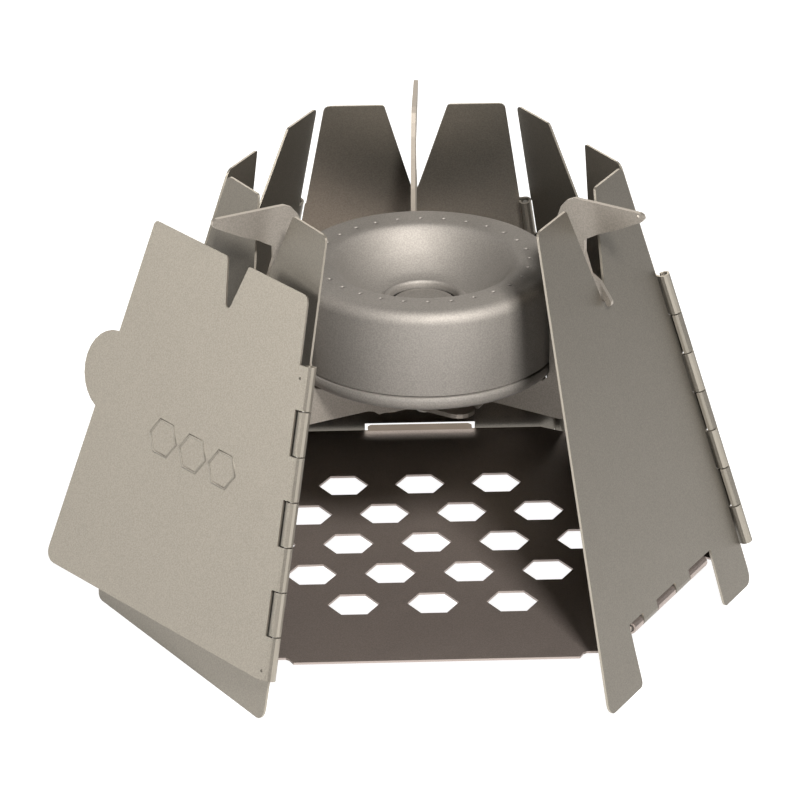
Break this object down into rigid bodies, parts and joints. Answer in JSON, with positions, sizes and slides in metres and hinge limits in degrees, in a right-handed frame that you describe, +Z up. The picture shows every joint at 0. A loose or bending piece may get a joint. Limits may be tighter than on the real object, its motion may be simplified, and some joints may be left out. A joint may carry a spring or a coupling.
{
  "type": "folding camp stove",
  "caption": "Folding hexagonal sheet-metal camp stove with its front door folded open, a hinged perforated floor and a round alcohol burner hung on radial pot-support arms.",
  "frame": {"origin": "centre of the bounding box in plan, at ground level, with the door folded open as stored; the hexagonal wall's upright centre line stands at x = 0.00508 m, y = -0.00014 m", "axes": "+Z up; -Y towards the door opening at the front; +X to the right as seen from the front"},
  "size_m": [0.1585, 0.1293, 0.102],
  "materials": {
    "panel_metal": "satin grey, bead-blasted",
    "floor_metal": "darker satin grey, bead-blasted",
    "pin_metal": "drawn wire",
    "burner_metal": "satin, pressed and bead-blasted",
    "hub_metal": "satin",
    "arm_metal": "satin with a fine grain"
  },
  "bodies": {
    "back_wall": {"back_panel": "panel_metal", "hinge_pin_back_left": "pin_metal", "hinge_pin_back_right": "pin_metal"},
    "left_back_wall": {"left_back_panel": "panel_metal", "hinge_pin_left": "pin_metal"},
    "left_front_wall": {"left_front_panel": "panel_metal", "hinge_pin_front_left": "pin_metal"},
    "door": {"door_panel": "panel_metal"},
    "right_back_wall": {"right_back_panel": "panel_metal", "hinge_pin_right": "pin_metal"},
    "right_front_wall": {"right_front_panel": "panel_metal", "hinge_pin_floor": "pin_metal"},
    "floor": {"floor_plate": "floor_metal"},
    "burner": {"burner_shell": "burner_metal", "burner_base": "burner_metal", "burner_cap": "burner_metal", "hub_spacer": "hub_metal", "hub_rivet": "hub_metal"},
    "left_arm": {"arm_left": "arm_metal"},
    "right_arm": {"arm_right": "arm_metal"},
    "back_arm": {"arm_back": "arm_metal"}
  },
  "joints": [
    {"name": "door_hinge", "type": "hinge", "parent": "left_front_wall", "child": "door", "pos_m": [-0.03137, -0.06328, 0.0096], "axis": [0.1445, 0.2503, 0.9573], "range_deg": [-10, 225.5]},
    {"name": "left_front_hinge", "type": "hinge", "parent": "left_back_wall", "child": "left_front_wall", "pos_m": [-0.06508, -0.00014, 0.0096], "axis": [-0.289, 0, -0.9573], "range_deg": [-0.2, 0.2]},
    {"name": "left_back_hinge", "type": "hinge", "parent": "back_wall", "child": "left_back_wall", "pos_m": [-0.03137, 0.063, 0.0096], "axis": [-0.1445, 0.2503, -0.9573], "range_deg": [-0.05, 0.05]},
    {"name": "right_back_hinge", "type": "hinge", "parent": "back_wall", "child": "right_back_wall", "pos_m": [0.04016, 0.06062, 0.0096], "axis": [-0.1445, -0.2503, 0.9573], "range_deg": [-0.05, 0.05]},
    {"name": "right_front_hinge", "type": "hinge", "parent": "right_back_wall", "child": "right_front_wall", "pos_m": [0.07798, -0.00014, 0.0096], "axis": [-0.289, 0, 0.9573], "range_deg": [-0.1, 0.1]},
    {"name": "floor_hinge", "type": "hinge", "parent": "right_front_wall", "child": "floor", "pos_m": [0.05718, -0.03022, 0.0119], "axis": [0.5, 0.866, 0], "range_deg": [0, 0.4]},
    {"name": "burner_lift", "type": "slide", "parent": "back_wall", "child": "burner", "axis": [0, 0, 1], "range_m": [0, 0.06]},
    {"name": "arm_left_pivot", "type": "hinge", "parent": "burner", "child": "left_arm", "pos_m": [0.00508, -0.00014, 0.05], "axis": [0, 0, 1], "range_deg": [-0.1, 0.1]},
    {"name": "arm_right_pivot", "type": "hinge", "parent": "burner", "child": "right_arm", "pos_m": [0.00508, -0.00014, 0.05], "axis": [0, 0, 1], "range_deg": [-0.1, 0.1]},
    {"name": "arm_back_pivot", "type": "hinge", "parent": "burner", "child": "back_arm", "pos_m": [0.00508, -0.00014, 0.05], "axis": [0, 0, 1], "range_deg": [-0.1, 0.1]}
  ]
}
